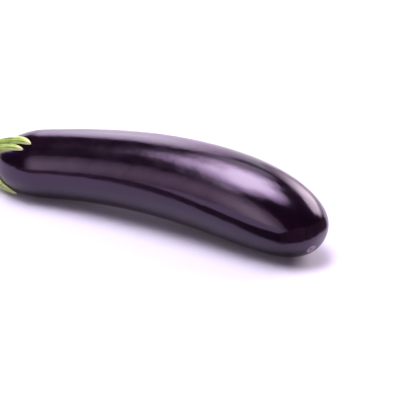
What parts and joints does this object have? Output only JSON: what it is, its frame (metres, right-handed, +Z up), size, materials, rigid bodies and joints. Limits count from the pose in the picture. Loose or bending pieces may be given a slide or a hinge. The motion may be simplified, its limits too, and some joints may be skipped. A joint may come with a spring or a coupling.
{
  "type": "eggplant",
  "caption": "Long, gently curved purple eggplant with a green calyx, a cut stalk and a small blossom scar, lying on its side.",
  "frame": {"origin": "centre of the overall box's bottom, on the surface that the eggplant lies on", "axes": "+X along the length, from the stalk to the blossom end; +Z up; -Y towards the front, the hollow side of the bend"},
  "size_m": [0.2578, 0.0572, 0.0544],
  "materials": {
    "aubergine_skin": "glossy, near-black purple, waxy",
    "calyx_green": "satin, yellow-green, fleshy"
  },
  "bodies": {
    "root": {"fruit": "aubergine_skin", "calyx_and_stalk": "calyx_green"}
  },
  "joints": []
}
